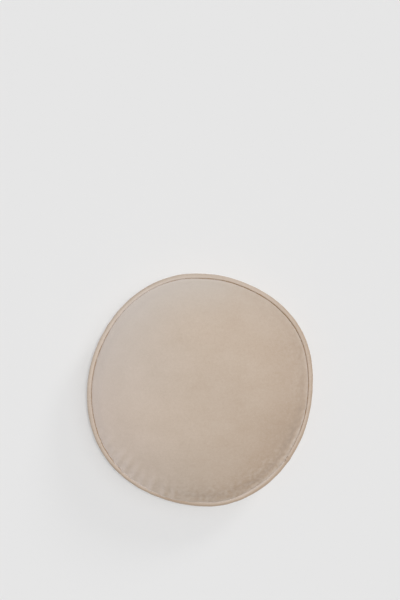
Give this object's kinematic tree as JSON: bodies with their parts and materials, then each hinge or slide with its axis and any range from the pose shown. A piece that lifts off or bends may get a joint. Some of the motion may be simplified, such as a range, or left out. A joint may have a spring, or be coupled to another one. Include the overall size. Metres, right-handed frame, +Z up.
{
  "type": "round cushion",
  "caption": "Round filled cushion with a crowned face, sides drawn in to a mid-height seam, soft puckers and a covered piping round the rim, lying on its back.",
  "frame": {"origin": "on the surface that the cushion lies on, under the middle of the outline's box", "axes": "+Z up through the crown of the upper face, +Y along the slightly longer width, +X along the shorter one"},
  "size_m": [0.4422, 0.4546, 0.1181],
  "materials": {
    "panel_velvet": "short-pile taupe velvet, matt with a soft lighter sheen where the nap turns away",
    "piping_velvet": "the same taupe velvet, stretched round a cord and cut on the bias"
  },
  "bodies": {
    "root": {"cushion_body": "panel_velvet", "piping": "piping_velvet"}
  },
  "joints": []
}
